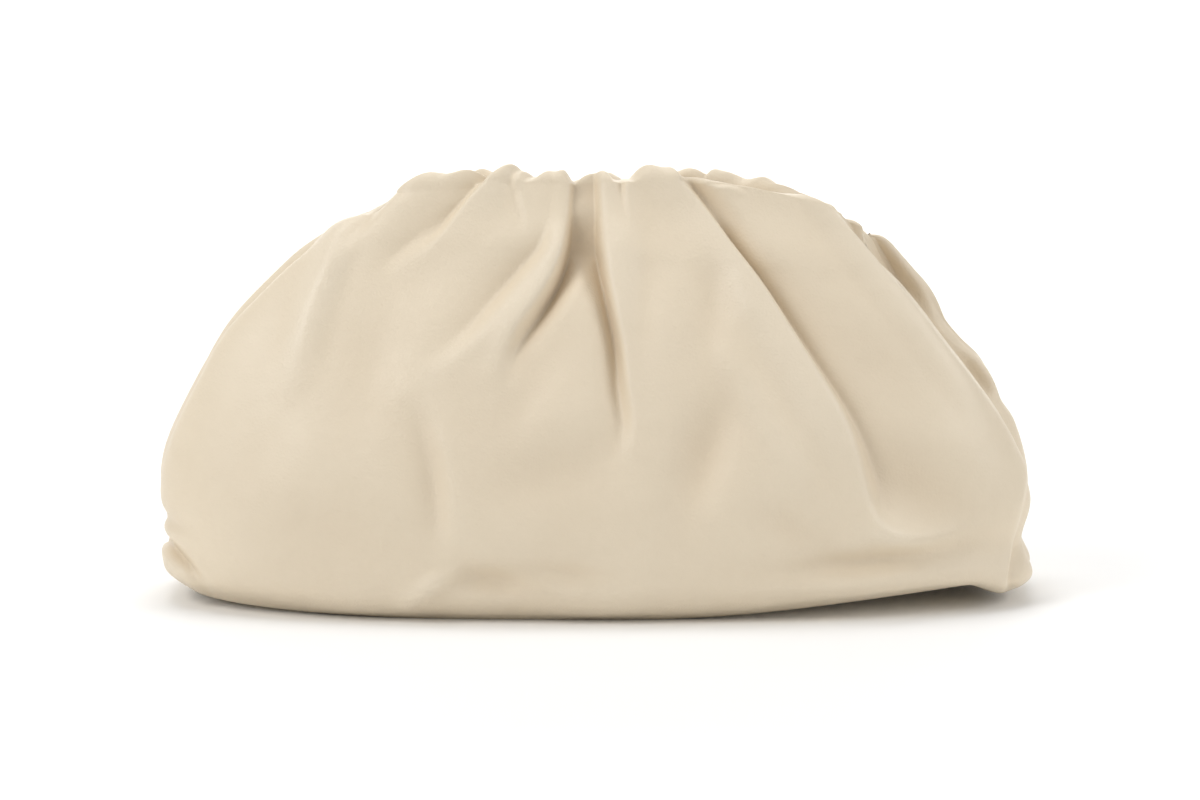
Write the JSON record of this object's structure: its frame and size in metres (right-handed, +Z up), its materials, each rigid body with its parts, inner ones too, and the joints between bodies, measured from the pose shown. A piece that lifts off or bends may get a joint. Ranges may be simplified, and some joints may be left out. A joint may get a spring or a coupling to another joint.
{
  "type": "handbag",
  "caption": "Large soft clutch bag of smooth leather, full at the base and gathered in deep loose folds into a long narrow mouth.",
  "frame": {"origin": "middle of the underside of the base panel, on the surface that the bag stands on", "axes": "+Z up, +X to the right as the front is looked at, front towards -Y"},
  "size_m": [0.3989, 0.1561, 0.2007],
  "materials": {
    "leather": "smooth cream leather with a soft low sheen",
    "frame": "satin"
  },
  "bodies": {
    "root": {"front_panel": "leather", "back_panel": "leather", "base_panel": "leather", "closure_frame": "frame"}
  },
  "joints": []
}
